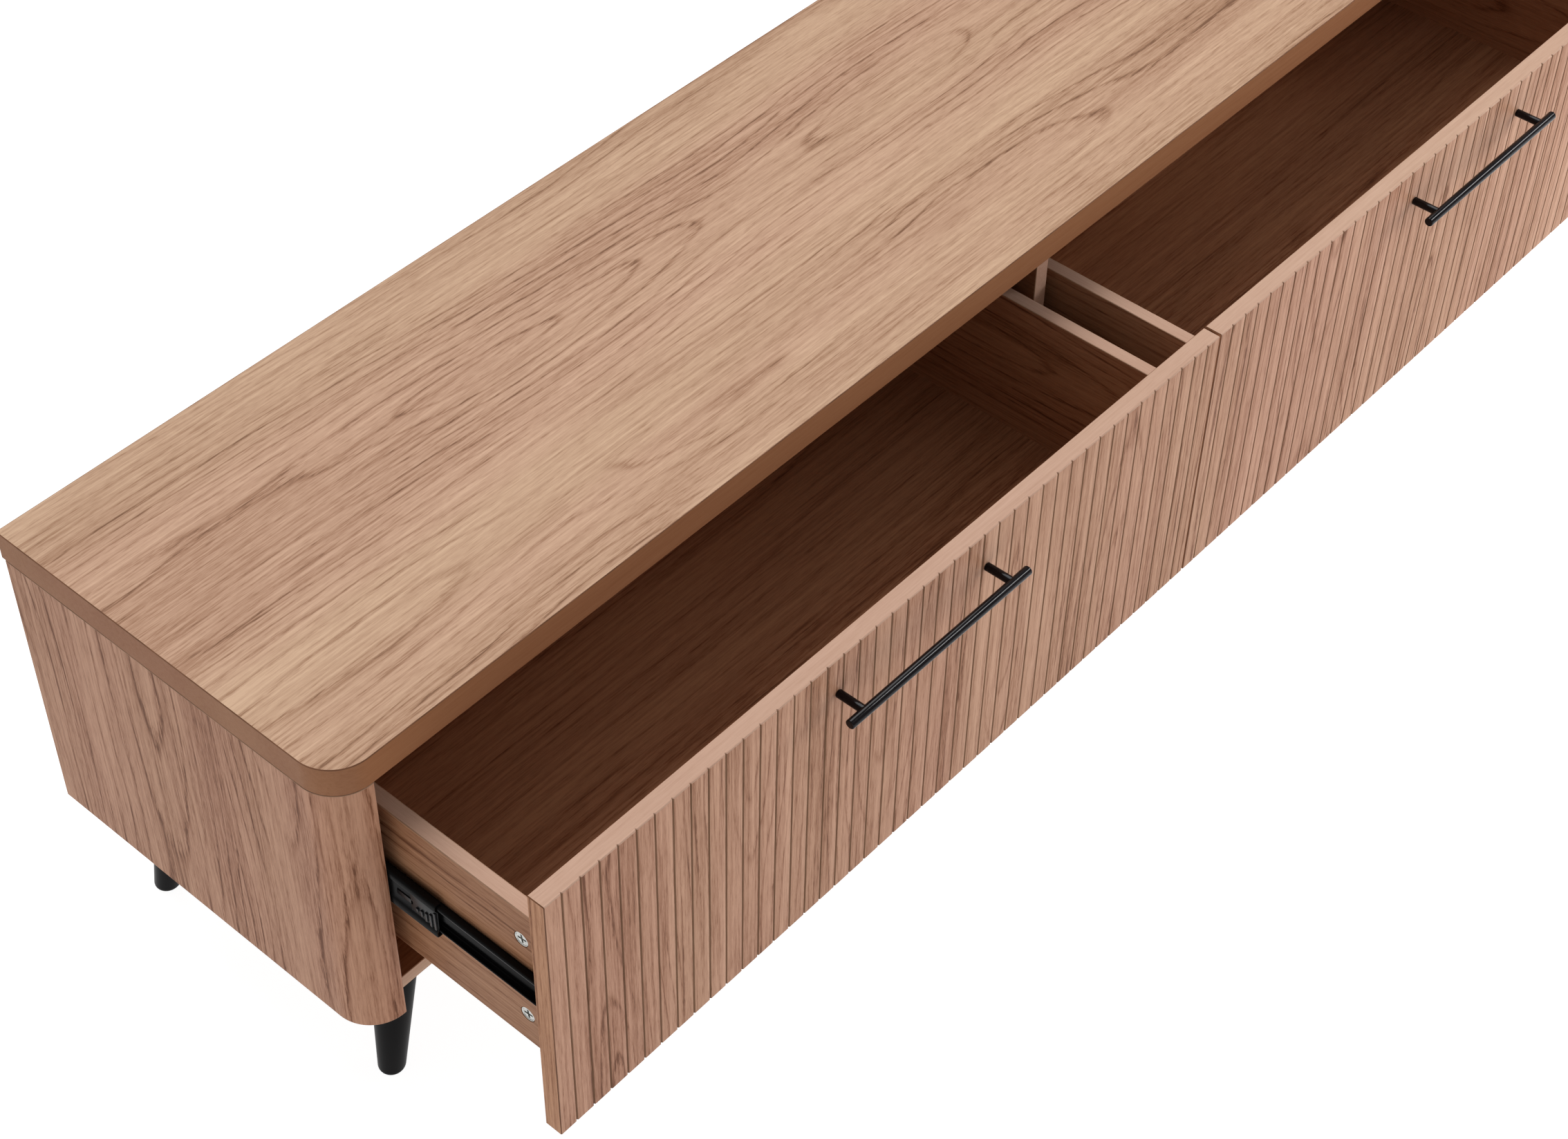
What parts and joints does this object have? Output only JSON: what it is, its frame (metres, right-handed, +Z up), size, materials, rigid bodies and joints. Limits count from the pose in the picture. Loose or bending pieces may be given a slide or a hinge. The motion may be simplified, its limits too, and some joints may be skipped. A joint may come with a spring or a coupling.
{
  "type": "media cabinet",
  "caption": "Low media cabinet with side-by-side fluted drawers on ball-bearing slides, bar handles, rounded front corners and splayed tapered legs.",
  "frame": {"origin": "on the floor, at the middle of the box that holds the cabinet with both drawers drawn out to their rest position", "axes": "+X along the cabinet's length towards its right end seen from the front, -Y the way the drawers open, +Z up"},
  "size_m": [1.8, 0.6116, 0.46],
  "materials": {
    "top_laminate": "satin walnut-grain laminate, grain along the cabinet's length",
    "side_laminate": "satin walnut-grain laminate, grain upright",
    "front_laminate": "satin walnut-grain laminate with upright V flutes and a plain edge band",
    "inner_laminate": "satin walnut-grain laminate on the inner boards, plain paler edge band",
    "back_board": "thin hardboard faced with the same grain",
    "black_leg": "satin black",
    "black_handle": "black, low gloss with a soft highlight",
    "slide_steel": "black electro-coated steel",
    "zinc": "bright zinc plate"
  },
  "bodies": {
    "cabinet": {"top_panel": "top_laminate", "left_side_panel": "side_laminate", "right_side_panel": "side_laminate", "bottom_panel": "inner_laminate", "center_divider": "inner_laminate", "left_back_panel": "back_board", "right_back_panel": "back_board", "front_left_leg": "black_leg", "front_left_leg_plate": "slide_steel", "front_right_leg": "black_leg", "front_right_leg_plate": "slide_steel", "rear_left_leg": "black_leg", "rear_left_leg_plate": "slide_steel", "rear_right_leg": "black_leg", "rear_right_leg_plate": "slide_steel", "center_leg": "black_leg", "center_leg_plate": "slide_steel", "left_drawer_left_outer_rail": "slide_steel", "left_drawer_right_outer_rail": "slide_steel", "right_drawer_left_outer_rail": "slide_steel", "right_drawer_right_outer_rail": "slide_steel"},
    "left_drawer": {"left_drawer_front": "front_laminate", "left_drawer_left_side": "inner_laminate", "left_drawer_left_side_upper_cam": "zinc", "left_drawer_left_side_lower_cam": "zinc", "left_drawer_left_inner_rail": "slide_steel", "left_drawer_right_side": "inner_laminate", "left_drawer_right_side_upper_cam": "zinc", "left_drawer_right_side_lower_cam": "zinc", "left_drawer_right_inner_rail": "slide_steel", "left_drawer_back": "inner_laminate", "left_drawer_floor": "inner_laminate", "left_drawer_handle_bar": "black_handle", "left_drawer_handle_left_post": "black_handle", "left_drawer_handle_left_screw": "zinc", "left_drawer_handle_right_post": "black_handle", "left_drawer_handle_right_screw": "zinc"},
    "left_mid_rails": {"left_drawer_left_mid_rail": "slide_steel", "left_drawer_right_mid_rail": "slide_steel"},
    "right_drawer": {"right_drawer_front": "front_laminate", "right_drawer_left_side": "inner_laminate", "right_drawer_left_side_upper_cam": "zinc", "right_drawer_left_side_lower_cam": "zinc", "right_drawer_left_inner_rail": "slide_steel", "right_drawer_right_side": "inner_laminate", "right_drawer_right_side_upper_cam": "zinc", "right_drawer_right_side_lower_cam": "zinc", "right_drawer_right_inner_rail": "slide_steel", "right_drawer_back": "inner_laminate", "right_drawer_floor": "inner_laminate", "right_drawer_handle_bar": "black_handle", "right_drawer_handle_left_post": "black_handle", "right_drawer_handle_left_screw": "zinc", "right_drawer_handle_right_post": "black_handle", "right_drawer_handle_right_screw": "zinc"},
    "right_mid_rails": {"right_drawer_left_mid_rail": "slide_steel", "right_drawer_right_mid_rail": "slide_steel"}
  },
  "joints": [
    {"name": "left_drawer_slide", "type": "slide", "parent": "cabinet", "child": "left_drawer", "axis": [0, -1, 0], "range_m": [-0.178, 0.172]},
    {"name": "left_mid_rail_slide", "type": "slide", "parent": "cabinet", "child": "left_mid_rails", "axis": [0, -1, 0], "range_m": [-0.089, 0.086]},
    {"name": "right_drawer_slide", "type": "slide", "parent": "cabinet", "child": "right_drawer", "axis": [0, -1, 0], "range_m": [-0.178, 0.172]},
    {"name": "right_mid_rail_slide", "type": "slide", "parent": "cabinet", "child": "right_mid_rails", "axis": [0, -1, 0], "range_m": [-0.089, 0.086]}
  ],
  "couplings": [
    {"joint": "left_mid_rail_slide", "follows": "left_drawer_slide", "ratio": 0.5},
    {"joint": "right_mid_rail_slide", "follows": "right_drawer_slide", "ratio": 0.5}
  ]
}
